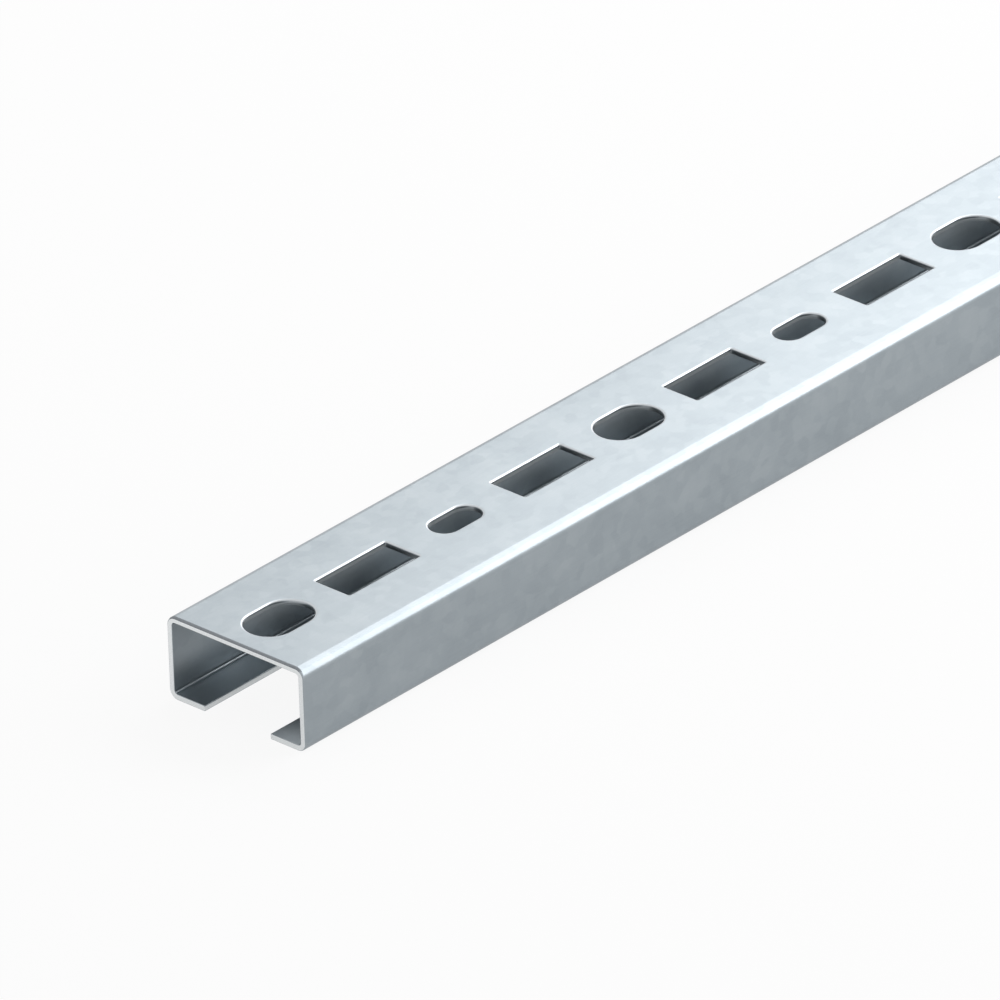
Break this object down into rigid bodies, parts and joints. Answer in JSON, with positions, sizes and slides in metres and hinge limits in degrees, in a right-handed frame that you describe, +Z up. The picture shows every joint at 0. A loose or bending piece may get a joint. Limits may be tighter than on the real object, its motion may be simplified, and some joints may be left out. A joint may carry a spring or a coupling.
{
  "type": "slotted channel rail",
  "caption": "Length of slotted C-shaped steel channel rail with plain inward lips and a repeating row of oval and rectangular holes along its web.",
  "frame": {"origin": "middle of the rail's length and width, level with the underside of its lips", "axes": "+X along the rail, +Y across it, +Z up from the lips to the flat perforated web"},
  "size_m": [0.5, 0.035, 0.018],
  "materials": {
    "zinc_steel": "satin"
  },
  "bodies": {
    "root": {"channel_rail": "zinc_steel"}
  },
  "joints": []
}
